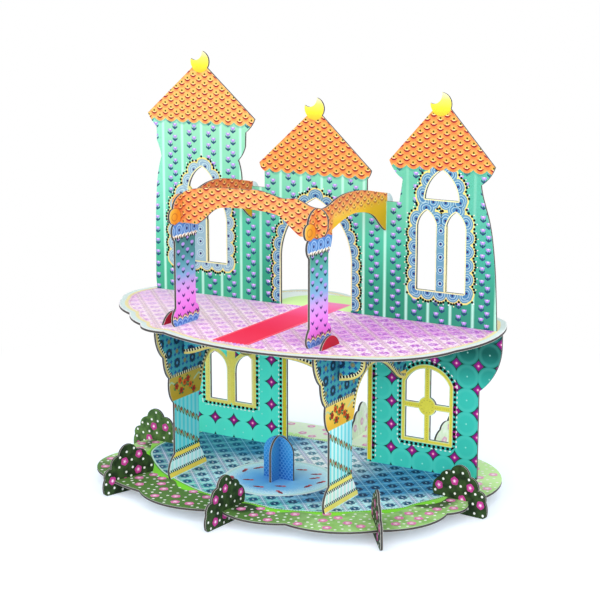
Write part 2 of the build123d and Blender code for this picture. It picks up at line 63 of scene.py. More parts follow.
class Board:
    """Where a board stands: a point of its middle plane and its two directions."""

    def __init__(self, origin, along=(1, 0, 0), up=(0, 0, 1)):
        self.origin = Vector(origin)
        self.along = Vector(along)
        self.up = Vector(up)
        self.normal = self.along.cross(self.up)

    def place(self, u, v, out):
        p = self.origin + self.along * u + self.up * v + self.normal * out
        return Vector((p.x + POND[0], p.y + POND[1], p.z)) / 1000

    def local(self, p):
        q = Vector((p.x * 1000 - POND[0], p.y * 1000 - POND[1], p.z * 1000)) - self.origin
        return q.dot(self.along), q.dot(self.up), q.dot(self.normal)


def heading(degrees):
    a = math.radians(degrees)
    return math.cos(a), math.sin(a), 0


def between(left, right):
    """The board of a front arch that joins two columns."""
    angle = math.degrees(math.atan2(right[1] - left[1], right[0] - left[0]))
    return Board((0, (left[1] + right[1]) / 2, 0), heading(angle))


BOARDS = {
    "base_plate": Board((0, 0, BASE_TOP - HALF), up=(0, 1, 0)),
    "floor_plate": Board((0, 0, FLOOR_TOP - HALF), up=(0, 1, 0)),
    "lower_wall": Board((0, LOWER_WALL_FRONT + HALF, 0)),
    "upper_wall": Board((0, UPPER_WALL_FRONT + HALF, 0)),
    "lower_front_arch": between(LOWER_COLUMNS["left"], LOWER_COLUMNS["right"]),
    "upper_front_arch": between(UPPER_COLUMNS["left"], UPPER_COLUMNS["right"]),
    "fountain_along": Board((0, 0, 0)),
    "fountain_across": Board((0, 0, 0), (0, 1, 0)),
}
for side in ("left", "right"):
    BOARDS["lower_side_panel_" + side] = Board((LOWER_COLUMNS[side][0], 0, 0), (0, 1, 0))
    BOARDS["upper_side_panel_" + side] = Board((UPPER_COLUMNS[side][0], 0, 0), (0, 1, 0))
for bush, (bx, by, turn) in BUSHES.items():
    BOARDS[bush] = Board((bx, by, 0), heading(turn))


def sides(loop):
    return zip(loop, loop[1:] + loop[:1])


def area(loop):
    """Twice an outline's area, negative where it runs clockwise."""
    return sum(a[0] * b[1] - b[0] * a[1] for a, b in sides(loop))


def loops(name):
    """The closed outlines of a board's printed face, each run with the board on its left. The
    widest comes first."""
    board = BOARDS[name]
    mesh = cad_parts[name].data
    where = [board.local(v.co) for v in mesh.vertices]
    ahead = {}
    for polygon in mesh.polygons:
        corners = [where[i] for i in polygon.vertices]
        if min(w for _, _, w in corners) < HALF - 0.05:
            continue
        if area(corners) < 0:
            corners.reverse()
        for a, b in sides([(round(u, 3), round(v, 3)) for u, v, _ in corners]):
            if a in ahead.get(b, ()):
                ahead[b].remove(a)
            else:
                ahead.setdefault(a, []).append(b)
    found = []
    while any(ahead.values()):
        start = next(a for a, following in ahead.items() if following)
        loop = [start]
        here = ahead[start].pop()
        while here != start and ahead.get(here):
            loop.append(here)
            here = ahead[here].pop()
        if len(loop) > 3:
            found.append(loop)
    return sorted(found, key=lambda loop: min(loop)[0] - max(loop)[0])


class Path:
    """A line on a board. An offset is measured to its left."""

    def __init__(self, points, closed=False):
        self.closed = closed
        if closed:
            points = list(points) + [points[0]]
        self.points = [points[0]]
        for p in points[1:]:
            if math.dist(p, self.points[-1]) > 1e-4:
                self.points.append(p)
        self.marks = [0.0]
        for a, b in zip(self.points, self.points[1:]):
            self.marks.append(self.marks[-1] + math.dist(a, b))
        self.length = self.marks[-1]

    def spot(self, s):
        if self.closed:
            s %= self.length
        s = min(max(s, 0.0), self.length)
        i = min(bisect.bisect_right(self.marks, s), len(self.marks) - 1)
        a, b = self.points[i - 1:i + 1]
        t = (s - self.marks[i - 1]) / (self.marks[i] - self.marks[i - 1])
        return a[0] + (b[0] - a[0]) * t, a[1] + (b[1] - a[1]) * t

    @functools.cached_property
    def samples(self):
        """Marks about 2 mm apart, and their places."""
        count = int(self.length / 2)
        marks = np.array([self.length * i / count for i in range(count + 1)])
        return marks, np.array([self.spot(m) for m in marks])

    def at(self, s, off, ease=1.2):
        a, b = self.spot(s - ease), self.spot(s + ease)
        d = math.dist(a, b) or 1.0
        p = self.spot(s)
        return p[0] - (b[1] - a[1]) / d * off, p[1] + (b[0] - a[0]) / d * off

    def shifted(self, off):
        """The path's points moved to its left, with its corners kept sharp."""
        ring = self.points
        if self.closed:
            ring = [ring[-2]] + ring + [ring[1]]
        ways = []
        for a, b in zip(ring, ring[1:]):
            d = math.dist(a, b)
            ways.append(((b[0] - a[0]) / d, (b[1] - a[1]) / d))
        if not self.closed:
            ways = ways[:1] + ways + ways[-1:]
        made = []
        for (x, y), before, after in zip(self.points, ways, ways[1:]):
            nx, ny = -(before[1] + after[1]) / 2, (before[0] + after[0]) / 2
            k = off / max(nx * nx + ny * ny, 0.3)
            made.append((x + nx * k, y + ny * k))
        return made

    def nearest(self, point):
        steps = max(2, int(self.length / 0.5))
        return min((math.dist(self.spot(self.length * i / steps), point),
                    self.length * i / steps) for i in range(steps + 1))[1]

    def cut(self, start, end):
        """The stretch between the places nearest to two points, in the path's own direction."""
        a, b = self.nearest(start), self.nearest(end)
        if b <= a:
            b += self.length
        count = max(2, int((b - a) / 0.6))
        return Path([self.spot(a + (b - a) * i / count) for i in range(count + 1)])


def smooth(points, fine=8):
    """A soft closed curve through points."""
    made = []
    for i in range(len(points)):
        four = [points[(i + k) % len(points)] for k in (-1, 0, 1, 2)]
        for t in (j / fine for j in range(fine)):
            made.append(tuple(0.5 * (2 * b + (c - a) * t + (2 * a - 5 * b + 4 * c - d) * t * t
                                     + (3 * b - a - 3 * c + d) * t ** 3)
                              for a, b, c, d in zip(*four)))
    return made


def turns(count):
    return [2 * math.pi * i / count for i in range(count)]


def round_from(u, v, r, a, squash=1.0):
    """The place on a circle round a point, at an angle."""
    return u + r * math.cos(a), v + r * squash * math.sin(a)


def inside(point, loop):
    x, y = point
    odd = False
    for (ax, ay), (bx, by) in sides(loop):
        if (ay > y) != (by > y) and x < ax + (y - ay) * (bx - ax) / (by - ay):
            odd = not odd
    return odd


def clearance(point, loop):
    """The distance from a point to a closed outline."""
    a = np.array(loop)
    way = np.roll(a, -1, axis=0) - a
    off = np.array(point) - a
    t = np.clip((off * way).sum(1) / np.maximum((way * way).sum(1), 1e-9), 0, 1)
    return float(np.sqrt(((off - way * t[:, None]) ** 2).sum(1).min()))


# Print, as math over a board's face

def tint(code):
    """A written colour as the linear numbers that a shader takes."""
    made = []
    for i in (1, 3, 5):
        c = int(code[i:i + 2], 16) / 255
        made.append(c / 12.92 if c <= 0.04045 else ((c + 0.055) / 1.055) ** 2.4)
    return (*made, 1.0)


class Field:
    """A number that varies over a face."""

    def __init__(self, pen, socket):
        self.pen = pen
        self.socket = socket

    def run(self, operation, *others, clamp=False):
        inputs = dict(enumerate((self, *others)))
        return Field(self.pen, self.pen.make("Math", inputs, operation=operation,
                                             use_clamp=clamp))

    __add__ = functools.partialmethod(run, "ADD")
    __sub__ = functools.partialmethod(run, "SUBTRACT")
    __mul__ = functools.partialmethod(run, "MULTIPLY")
    __rsub__ = functools.partialmethod(run, "MULTIPLY_ADD", -1.0)
    size = functools.partialmethod(run, "ABSOLUTE")
    least = functools.partialmethod(run, "MINIMUM")
    most = functools.partialmethod(run, "MAXIMUM")

    def over(self, edge, soft=0.5):
        return self.run("MULTIPLY_ADD", 1 / soft, 0.5 - edge / soft, clamp=True)

    def under(self, edge, soft=0.5):
        return self.run("MULTIPLY_ADD", -1 / soft, 0.5 + edge / soft, clamp=True)

    def near(self, reach, soft=0.5):
        return self.size().under(reach, soft)

    def within(self, low, high, soft=0.5):
        return (self - (low + high) / 2).near((high - low) / 2, soft)

    def cell(self, pitch, phase=0.0):
        """The distance from the middle of the nearest of cells repeated at a pitch."""
        turned = self.run("MULTIPLY_ADD", 1 / pitch, 0.5 - phase / pitch).run("FRACT")
        return turned.run("MULTIPLY_ADD", pitch, -pitch / 2)

    def odd(self, pitch, phase=0.0):
        """1 in every other cell."""
        turned = self.run("MULTIPLY_ADD", 0.5 / pitch, 0.25 - phase / (2 * pitch))
        return turned.run("FRACT").run("GREATER_THAN", 0.5)


def far(a, b):
    """The distance of a place from the one where both numbers are 0."""
    return (a * a + b * b).run("SQRT")


class Pen:
    """Draws one material."""

    def __init__(self, tree):
        self.tree = tree

    def fill(self, node, inputs):
        """Feeds numbers, colours and other nodes to a node's inputs, by their places or names."""
        for key, value in inputs.items():
            if isinstance(value, Field):
                value = value.socket
            if isinstance(value, bpy.types.NodeSocket):
                self.tree.links.new(value, node.inputs[key])
            else:
                node.inputs[key].default_value = tint(value) if isinstance(value, str) else value

    def make(self, kind, inputs, output=0, **settings):
        """A new node, given as one of its outputs."""
        node = self.tree.nodes.new("ShaderNode" + kind)
        for name, value in settings.items():
            setattr(node, name, value)
        self.fill(node, inputs)
        return node.outputs[output]

    def mix(self, colour, other, share):
        return self.make("Mix", {0: share, 6: colour, 7: other}, 2, data_type="RGBA")

    def coats(self, colour, *others):
        """A colour with others laid over it in turn, each by its share."""
        for other, share in others:
            colour = self.mix(colour, other, share)
        return colour

    def ramp(self, field, *stops):
        low, high = stops[0][0], stops[-1][0]
        made = self.make("ValToRGB", {0: field.run(
            "MULTIPLY_ADD", 1 / (high - low), -low / (high - low), clamp=True)})
        elements = made.node.color_ramp.elements
        while len(elements) < len(stops):
            elements.new(0.5)
        for element, (place, code) in zip(elements, stops):
            element.position = (place - low) / (high - low)
            element.color = tint(code)
        return made

    def noise(self, size, detail=2.0):
        """Soft random variation, from 0 to 1, with patches of about the size given."""
        return Field(self, self.make(
            "TexNoise", {"Vector": self.spot, "Scale": 1 / size, "Detail": detail}))

    def dot(self, source, axis):
        return Field(self, self.make(
            "VectorMath", {0: source, 1: axis}, "Value", operation="DOT_PRODUCT"))

    def place(self, board):
        """The coordinates on a board's face, in millimetres, and the depth in it."""
        origin = (-POND[0] - board.origin.x, -POND[1] - board.origin.y, -board.origin.z)
        inputs = {0: self.make("TexCoord", {}, "Object"), 1: (1000, 1000, 1000), 2: origin}
        self.spot = self.make("VectorMath", inputs, operation="MULTIPLY_ADD")
        return [self.dot(self.spot, axis) for axis in (board.along, board.up, board.normal)]


def new_material(name):
    made = bpy.data.materials.new(name)
    made.use_nodes = True
    return made, Pen(made.node_tree)


def new_object(name, data):
    made = bpy.data.objects.new(name, data)
    scene.collection.objects.link(made)
    return made


def new_print(name, board_name):
    """A new material, its pen and its coordinates on a board's face."""
    made, pen = new_material(name)
    return made, pen, pen.place(BOARDS[board_name])


def coated_paper(pen, colour):
    """A faint grain under the print and a soft sheen."""
    grain = pen.make(
        "Bump", {"Strength": 0.25, "Distance": 0.00006, "Height": pen.noise(0.7, 3.0)})
    pen.fill(pen.tree.nodes["Principled BSDF"], {
        "Base Color": colour, "Roughness": 0.6, "Specular IOR Level": 0.14, "Normal": grain})


def dress(name, paint, *more, reverse=None):
    """Gives a board its print on both faces, and the grey core with its paper skins where it is
    cut. A plate has another colour on its underside."""
    made, pen, (u, v, w) = new_print(name + "_material", name)
    colour = paint(pen, u, v, *more)
    if reverse:
        colour = pen.mix(reverse, colour, w.over(0, 0.4))
    facing = pen.dot(pen.make("NewGeometry", {}, "Normal"), BOARDS[name].normal)
    coated_paper(pen, pen.coats(
        "#302f30", ("#504c48", pen.noise(1.6, 4.0)),
        ("#dedad2", w.size().over(1.0, 0.16) * 0.85), (colour, facing.size().over(0.7, 0.1))))
    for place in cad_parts[name].material_slots:
        place.material = made


@functools.cache
def ink(code):
    """One printed colour, uneven as print is."""
    made, pen, (u, _, _) = new_print("ink_" + code[1:], "upper_wall")
    dark = "#" + "".join("%02x" % int(int(code[i:i + 2], 16) * 0.9) for i in (1, 3, 5))
    colour = pen.mix(dark, code, pen.noise(1.5, 3.0))
    if code in PALING:
        colour = pen.mix(colour, "#d6e6dc", u.under(LEFT_TOWER, 20) * 0.3)
    coated_paper(pen, colour)
    return made


# Trims laid on a board's faces

class Trim:
    """Thin printed shapes on a board, the same on both its faces or on one."""

    def __init__(self, name, board_name, slot, faces=(1, -1), ceiling=None):
        self.name = name
        self.board = BOARDS[board_name]
        self.slot = slot
        self.faces = faces
        self.ceiling = ceiling
        self.points, self.polygons, self.inks, self.materials = [], [], [], []
        self.count = 0

    def add(self, polygon, material, layer):
        """Layers lie 0.04 mm apart, and neighbours in a layer a little less than level."""
        if isinstance(material, str):
            material = ink(material)
        if material not in self.materials:
            self.materials.append(material)
        self.count += 1
        out = HALF + 0.04 * layer + 0.003 * (self.count % 9)
        if self.ceiling:
            polygon = [(u, min(v, self.ceiling(u))) for u, v in polygon]
        size = area(polygon)
        if abs(size) < 1e-4:
            return
        if size < 0:
            polygon = polygon[::-1]
        for face in self.faces:
            start = len(self.points)
            self.points += [self.board.place(u, v, face * out) for u, v in polygon]
            order = list(range(start, len(self.points)))
            self.polygons.append(order if face > 0 else order[::-1])
            self.inks.append(self.materials.index(material))

    def band(self, lows, highs, material, layer):
        """The band between two rows of points, all of it level."""
        level = self.count
        for corners in zip(lows, lows[1:], highs[1:], highs):
            self.count = level
            self.add(list(corners), material, layer)

    def dot(self, u, v, r, material, layer, corners=8, squash=1.0):
        self.add([round_from(u, v, r, a, squash) for a in turns(corners)], material, layer)

    def strip(self, path, low, high, material, layer, start=0.0, end=None, step=0.8):
        """A band beside a path, from one offset to another, which may be functions."""
        end = path.length if end is None else end
        count = max(1, int(round((end - start) / step)))
        marks = [start + (end - start) * i / count for i in range(count + 1)]
        rows = [[path.at(s, off(s) if callable(off) else off) for s in marks]
                for off in (low, high)]
        self.band(*rows, material, layer)

    def hem(self, path, low, high, material, layer):
        """A band beside a path that keeps the path's corners."""
        self.band(path.shifted(low), path.shifted(high), material, layer)

    def dashes(self, path, low, high, material, layer, length, pitch, start=0.0):
        s = start
        while s + length <= path.length:
            self.strip(path, low, high, material, layer, s, s + length, step=length)
            s += pitch

    def dots(self, path, off, r, material, layer, pitch, corners=6):
        count = max(1, int(path.length / pitch))
        for i in range(count + (0 if path.closed else 1)):
            self.dot(*path.at(i * path.length / count, off), r, material, layer, corners)

    def done(self):
        mesh = bpy.data.meshes.new(self.name)
        mesh.from_pydata(self.points, [], self.polygons)
        for material in self.materials:
            mesh.materials.append(material)
        mesh.polygons.foreach_set("material_index", self.inks)
        mesh.update()
        made = new_object(self.name, mesh)
        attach(made, "root")


# Scalloped surrounds of the upper openings

SCALLOP_PITCH = 13.4
SCALLOP_OFF = 2.4          # the scallops' middles lie this far from the opening
SCALLOP_R = 7.0
RIM_R = 8.6
RIM_REACH = 6.4            # dots keep this far beyond the scallops' middles of other edges
DOT_START, DOT_PITCH = 0.6, 2.75
# of each pair: its middle, half the way between the lights, sill, springing and the gap
PAIRS = ((138.6, 15.5, 206, 268.5, 10.5), (-140, 20, 209, 252, 16))
SMALL_LIGHTS = ((-138, 296), (138.6, 309))
UPPER_DOOR = ((-42, 176), (40, 176))
BLUE, PALE_BLUE, DEEP_BLUE, NIGHT_BLUE = "#6a9cb4", "#a9ccd4", "#4f88b2", "#2f2a68"
PALING = (BLUE, PALE_BLUE, DEEP_BLUE)     # paler on the left tower
RINGS = ((5.7, PALE_BLUE), (4.9, DEEP_BLUE), (3.6, PALE_BLUE), (2.7, DEEP_BLUE))
STRIP_RINGS = ((4.6, PALE_BLUE), (3.8, DEEP_BLUE), (2.5, PALE_BLUE), (1.4, NIGHT_BLUE))
EDGE_CREAM = "#f6efb4"


def scallop(trim, path, middle, r, material, layer):
    """A disc beside the opening, cut off by its edge."""
    lows, highs = [], []
    for i in range(13):
        a = math.pi * i / 12
        reach = r * math.sin(a)
        s = middle - r * math.cos(a)
        if not path.closed:
            s = min(max(s, 0), path.length)
        lows.append(path.at(s, max(0.25, SCALLOP_OFF - reach)))
        highs.append(path.at(s, SCALLOP_OFF + reach))
    trim.band(lows, highs, material, layer)


def covered(spot, s, own, paths):
    """Whether the rim of another stretch reaches over a place."""
    for path in paths:
        marks, places = path.samples
        near = np.hypot(*(places - np.array(spot)).T) < SCALLOP_OFF + RIM_REACH
        if path is own:
            apart = np.abs(marks - s)
            if path.closed:
                apart = np.minimum(apart, path.length - apart)
            near &= apart > 2 * RIM_R
        if near.any():
            return True
    return False


def surround(trim, path, free, paths):
    """Ringed half discs round an opening, a yellow rim, and dots where the wall is free. The
    rims of all openings lie under the discs of all, so that neighbours run together."""
    count = max(1, round(path.length / SCALLOP_PITCH))
    pitch = path.length / count
    middles = [pitch * (i + (0 if path.closed else 0.5)) for i in range(count)]

    def rim(s, r):
        near = min(abs(((s - m + path.length / 2) % path.length) - path.length / 2)
                   if path.closed else abs(s - m) for m in middles)
        return SCALLOP_OFF + math.sqrt(max(r * r - near * near, 0.0))

    def speck(s, beyond, room, r, code, corners):
        spot = path.at(s, rim(s, RIM_R) + beyond, ease=2.0)
        if free(spot, room) and not covered(spot, s, path, paths):
            trim.dot(*spot, r, code, 1.2, corners)

    trim.strip(path, 0.2, lambda s: rim(s, RIM_R), "#f6e484", 0.5)
    trim.strip(path, 0.25, lambda s: rim(s, SCALLOP_R), BLUE, 2)
    for m in middles:
        for k, (r, code) in enumerate(RINGS):
            scallop(trim, path, m, r, code, 3 + k)
        trim.dot(*path.at(m, SCALLOP_OFF + 0.2), 1.2, NIGHT_BLUE, 8)
    trim.strip(path, 0.15, 1.25, EDGE_CREAM, 9)
    s = DOT_START
    index = 0
    while s < path.length - DOT_START:
        speck(s, 0.35, 1.4, 1.4, "#14100c", 7)
        if index % 2:
            speck(s, 2.5, 1.1, 0.7, ("#ffffff", "#f6dfe4", "#fff6c8")[index // 2 % 3], 6)
        s += DOT_PITCH
        index += 1


def pick(found, u, v):
    """The outline whose middle is nearest to a point."""
    def middle(loop):
        us, vs = zip(*loop)
        return (min(us) + max(us)) / 2, (min(vs) + max(vs)) / 2
    return Path(min(found, key=lambda loop: math.dist(middle(loop), (u, v))), True)


EAVE_PITCH, EAVE_PHASE, EAVE_CURVE = 14.15, -189.6, 0.074
LEFT_EAVE, MIDDLE_EAVE, RIGHT_EAVE = 353.75, 309.5, 323.75
LEFT_TOWER, RIGHT_TOWER = -72, 80          # the side towers begin here


def eave(u):
    """The height of the scalloped edge of the roof print."""
    low = LEFT_EAVE if u < LEFT_TOWER else RIGHT_EAVE if u > RIGHT_TOWER else MIDDLE_EAVE
    bump = (u - EAVE_PHASE + EAVE_PITCH / 2) % EAVE_PITCH - EAVE_PITCH / 2
    return low + EAVE_CURVE * bump * bump


upper = loops("upper_wall")


def free_wall(p, r):
    return (inside(p, upper[0]) and clearance(p, upper[0]) > r and p[1] < eave(p[0]) - r
            and not any(inside(p, hole) or clearance(p, hole) < r for hole in upper[1:]))


trim = Trim("upper_window_and_door_surrounds", "upper_wall", "upper_wall_print", ceiling=eave)
around = [Path(upper[0], True).cut(*UPPER_DOOR)]
for middle, half, sill, spring, gap in PAIRS:
    # the board lies on the left, so the outlines run clockwise round the openings
    left_light, right_light = (pick(upper[1:], middle + way * half, 240) for way in (-1, 1))
    near_left, near_right = middle - gap / 2, middle + gap / 2
    around.append(Path(right_light.cut((near_right, spring), (near_right, sill)).points
                       + left_light.cut((near_left, sill), (near_left, spring)).points))
    # the strip between the pair
    strip = Path([(middle, sill + 0.2), (middle, spring + 2)])
    trim.strip(strip, -gap / 2 + 0.3, gap / 2 - 0.3, BLUE, 10, step=4)
    for side in (-1, 1):
        trim.strip(strip, side * gap / 2 - 0.7, side * gap / 2 + 0.7 - 0.6 * side, EDGE_CREAM,
                   11, step=4)
    v = sill + 8
    while v < spring + 1:
        for k, (r, code) in enumerate(STRIP_RINGS):
            trim.dot(middle, v, min(r, gap / 2 - 0.9), code, 12 + k, 14)
        v += 13.0
around += [pick(upper[1:], u, v) for u, v in SMALL_LIGHTS]
for path in around:
    surround(trim, path, free_wall, around)
trim.done()


# Frames of the lower openings

PANE_YELLOW, TWIN_YELLOW, DULL_GOLD = "#f2e552", "#fdf07c", "#a8993a"
WINDOW_X, WINDOW_HALF, SILL, SPRING, HEAD = 117.0, 24.3, 47.5, 105.5, 121.0
BAR_Z, BOSS_Z = 81.6, 82
PANES = ((104, 64), (130, 64), (104, 98), (130, 98))
# the twin window: its middle, sill and springing, its posts and its outline
TWIN_X, TWIN_SILL, TWIN_TOP = -116.5, 51, 117
TWIN_POSTS = (-147.0, -88.2)
TWIN_EDGE = ((TWIN_X, TWIN_SILL), (-149.5, TWIN_SILL), (-149.5, TWIN_TOP), (-145, 123),
             (-134, 126), (-123, 122), (TWIN_X, 116), (-110, 122), (-99, 126), (-88, 121),
             (-85.8, TWIN_TOP), (-85.8, TWIN_SILL))
LOWER_DOOR = ((-47, 16), (49, 16))


def dashed(trim, path):
    """A row of black dashes with a row of small white ones outside it."""
    trim.dashes(path, 0, 2.9, "#100e09", 3, 3.1, 5.1)
    trim.dashes(path, 3.2, 4.5, "#fbfcf4", 3, 2.2, 5.1, 3.0)


def framed(trim, path, width, code, dark):
    """A coloured frame with pale edges and two rows of fine dots, and the dashes outside it."""
    trim.hem(path, 0.2, width, code, 1)
    trim.hem(path, 0.2, 0.9, "#f6f2bd", 2)
    trim.hem(path, width - 0.8, width, "#f1eeaa", 2)
    for off in (1.5, width - 1.5):
        trim.dots(Path(path.shifted(off)), 0, 0.3, dark, 3, 1.7, corners=5)
    dashed(trim, Path(path.shifted(width + 0.5)))


lower = loops("lower_wall")
trim = Trim("lower_window_and_door_frames", "lower_wall", "lower_wall_print")
framed(trim, Path(lower[0], True).cut(*LOWER_DOOR), 5.6, "#e6d52c", "#9a8f22")
# the outline of the window with four panes, under its low arch
rise = HEAD - SPRING
radius = (WINDOW_HALF ** 2 + rise ** 2) / (2 * rise)
sweep = math.asin(WINDOW_HALF / radius)
window = [(WINDOW_X, SILL), (WINDOW_X - WINDOW_HALF, SILL)]
for i in range(21):
    window.append(round_from(WINDOW_X, HEAD - radius, radius,
                             math.pi / 2 + sweep - 2 * sweep * i / 20))
window.append((WINDOW_X + WINDOW_HALF, SILL))
framed(trim, Path(window, True), 4.3, "#f6ea5c", DULL_GOLD)
for u, v in PANES:
    pane = pick(lower[1:], u, v)
    trim.hem(pane, 0.2, 1.0, "#fbf6b0", 4)
    trim.hem(pane, 1.0, 2.9, PANE_YELLOW, 4)
for bar in (Path([(WINDOW_X, SILL), (WINDOW_X, HEAD - 1)]),
            Path([(WINDOW_X - WINDOW_HALF, BAR_Z), (WINDOW_X + WINDOW_HALF, BAR_Z)])):
    trim.strip(bar, -1.6, 1.6, PANE_YELLOW, 3.5, step=6)
    trim.dots(bar, 0, 0.45, "#b9a83a", 4.5, 2.4)
trim.dot(WINDOW_X, BOSS_Z, 9.0, PANE_YELLOW, 5, 8)
for a in turns(12):
    trim.dot(*round_from(WINDOW_X, BOSS_Z, 6.5, a), 0.5, DULL_GOLD, 6, 5)
for way in (-1, 1):
    light = pick(lower[1:], TWIN_X + way * 16, 80)
    trim.hem(light, 0.2, 4.6, TWIN_YELLOW, 1)
    trim.hem(light, 0.2, 1.0, "#fbf6c8", 2)
    trim.dots(Path(light.shifted(2.6)), 0, 0.3, "#b5a950", 3, 1.9, corners=5)
trim.strip(Path([(TWIN_X, 52), (TWIN_X, 112)]), -5.2, 5.2, "#fbec6a", 1, step=6)
for u in TWIN_POSTS:
    trim.strip(Path([(u, TWIN_SILL), (u, TWIN_TOP)]), -2.6, 2.6, TWIN_YELLOW, 1, step=6)
dashed(trim, Path(Path(TWIN_EDGE, True).shifted(0.6)))
trim.done()


# The garden plate

TILE_EDGE = smooth([
    (-162, 9), (-147, -11), (-125, -32), (-105, -47), (-74, -62), (-52, -71), (-34, -76),
    (-4, -78), (27, -79), (47, -80), (87, -66), (119, -44), (146, -18), (152, -1), (168, 39),
    (166, 84), (140, 118), (80, 129), (0, 131), (-80, 129), (-140, 112), (-166, 72), (-168, 36)])
TILE_X, TILE_Y = 24.3, 25.8
TILE_SIDE = 17.7
POND_R = 54.0
# the fish: places and turns, and the round strokes of one from its head to its tail
FISH = ((-35, 16, 60), (-42, 2, 100), (6, 33, 20), (26, 28, 30), (31, 16, 50), (38, -9, 80),
        (14, -22, 20), (-4, -34, 10), (-24, -21, 20), (-30, 36, 30), (-15, 44, 10), (43, 8, 70),
        (24, -38, 150), (-40, -24, 130))
FISH_BODY = ((-4.2, 1.0), (-2.2, 1.9), (0.2, 2.3), (2.6, 1.5), (4.3, 2.3))
GRASS_PATCHES = ((160, 16, 24), (18, -92, 14), (-170, 34, 17))     # places and radii


def tile_pattern(pen, x, y, ground, motif, stripe, thin, other):
    """Flowers of four petals on a slanting trellis of fine lines."""
    p = (x * (1 / TILE_X) + y * (1 / TILE_Y)) - 0.854
    q = (x * (1 / TILE_X) - y * (1 / TILE_Y)) + 0.866
    a, b = ((way.cell(1.0) * TILE_SIDE).size() for way in (p, q))
    along, across = (way.cell(1.0, 0.5).size() * TILE_SIDE for way in (p, q))
    broken = q.cell(0.125).size().over(0.03, 0.02)
    # a leaf at the middle of each side of a tile, and the four petals
    leaf = far(b * 0.9, (along - 3.4) * 0.8).least(far(a * 0.9, (across - 3.4) * 0.8))
    return pen.coats(
        ground, (other, along.under(2.1, 0.6) * 0.6),
        (thin, (along - 2.5).near(0.45, 0.4) * broken * 0.8),
        (thin, (along - 1.0).near(0.35, 0.4) * 0.35),
        (stripe, along.under(0.45, 0.5) * 0.7),
        (thin, (across - 1.6).near(0.35, 0.4) * 0.4),
        (stripe, across.under(0.8, 0.6) * 0.6), (motif, leaf.under(1.1, 0.5) * 0.75),
        (motif, far(a - 2.2, b - 2.2).under(2.35, 0.5)), (stripe, (a + b).under(1.2, 0.6) * 0.8))


def garden_tiles(pen, x, y):
    # painted shadow of the floor plate: darker, bluer tiles at the back middle and along the right
    shade = (y - x * 0.25).over(58, 30) * x.size().over(38, 22)
    right = (x - y * 0.3).over(46, 50) * (y - x * 0.95).over(-112, 16)
    dark = shade.most(right)
    # painted light: a paler pool in the middle of the tiles, with paler motifs
    bright = (y - x * 0.3).within(14, 92, 30) * (x - 8).near(48, 40) * (1.0 - right)
    # the ground also darkens on the far left, painted shade beside the left column
    ground = pen.coats(
        "#d4f7fb", ("#a2e3f2", pen.noise(9.0)), ("#2484be", dark * 0.92),
        ("#58cbb8", (y + x * 0.12).under(-52, 26) * 0.78), ("#4f9ea6", x.under(-84, 30) * 0.75),
        ("#ffffff", bright * 0.9))
    motif = pen.coats("#0d4c78", ("#052750", right), ("#62a8b4", bright * 0.75))
    return tile_pattern(pen, x, y, ground, motif, pen.mix("#f3ecf6", "#8fd0e4", dark),
                        "#1f7a86", pen.mix("#a9aede", "#3f68a6", dark))


def pond_water(pen, x, y):
    d = far(x, y)
    speck = pen.noise(1.3, 1.0).over(0.56, 0.08)
    return pen.coats(
        "#66b2ec", ("#93d6f8", pen.noise(14.0)),
        ("#3d92de", far(x + 8, y + 6).under(24, 34) * 0.6),
        # painted light: paler towards the far side, in the floor plate's shade
        ("#d2f7ff", (y - 10).over(12, 40) * 0.7), ("#c8f5fa", d.over(44, 12) * 0.75),
        ("#ffffff", speck * d.over(40, 16) * 0.6))


def grass(pen, x, y):
    back = y - x * 0.1
    colour = pen.coats(
        "#86b860", ("#a3cf82", pen.noise(15.0).over(0.5, 0.3)),
        ("#b2dc92", x.under(-176, 24) * y.under(20, 30) * 0.8),
        ("#456e2a", y.under(-34, 30) * x.under(70, 70) * 0.9),
        # painted light: the last two layers pale the grass towards the back, in the floor plate's
        # shade
        ("#3f6a35", pen.noise(7.0).over(0.62, 0.12) * 0.3), ("#ccf2a8", back.over(50, 70) * 0.85),
        ("#f8fff0", back.over(100, 70) * x.under(130, 60) * 0.75))
    for cx, cy, r in GRASS_PATCHES:
        patch = far(x - cx, y - cy) + pen.noise(6.0) * 10
        colour = pen.mix(colour, "#26381f", patch.under(r + 5, 6) * 0.85)
    return colour


def garden_rim(pen, x, y):
    return pen.mix("#84de36", "#cdf3a2", y.over(40, 60))


def garden_sheet(paint):
    made, pen, (u, v, _) = new_print(paint.__name__, "base_plate")
    coated_paper(pen, paint(pen, u, v))
    return made


plate_edge = loops("base_plate")[0]
trim = Trim("garden_tiles_and_pond", "base_plate", "garden_print", faces=(1,))
edge = Path(TILE_EDGE[::-1], True)
trim.add(TILE_EDGE, garden_sheet(garden_tiles), 2)
trim.strip(edge, 0.0, lambda s: 2.5 + 8.0 * math.sin(s / 17) ** 2, garden_sheet(garden_rim), 1,
           step=3)
trim.strip(edge, -1.8, 0.0, "#d6f7e6", 3, step=2)
trim.dots(edge, 0.5, 0.85, "#1b6248", 4, 2.7)
circle = [round_from(0, 0, POND_R, a) for a in turns(72)]
trim.add(circle, garden_sheet(pond_water), 4)
trim.strip(Path(circle, True), -0.2, 2.6, "#cdf3f4", 5, step=2)
trim.strip(Path(circle, True), -2.2, -0.2, "#ecfbfb", 5, step=2)
for x, y, turn in FISH:
    for k, (along, r) in enumerate(FISH_BODY):
        red = "#96243c" if k < 4 else "#d2606c"
        trim.dot(*round_from(x, y, along, math.radians(turn)), r, red, 6 + k, 8, 0.9)
trim.done()


def scatter(seed, count, box, fits, apart, others=()):
    """Seeded places in a box that keep their distance from each other."""
    rng = random.Random(seed)
    found = []
    for _ in range(count * 60):
        if len(found) >= count:
            break
        p = rng.uniform(*box[:2]), rng.uniform(*box[2:])
        if (all(math.dist(p, q) > apart for q in found)
                and all(math.dist(p, q) > r for q, r in others) and fits(p)):
            found.append(p)
    return found


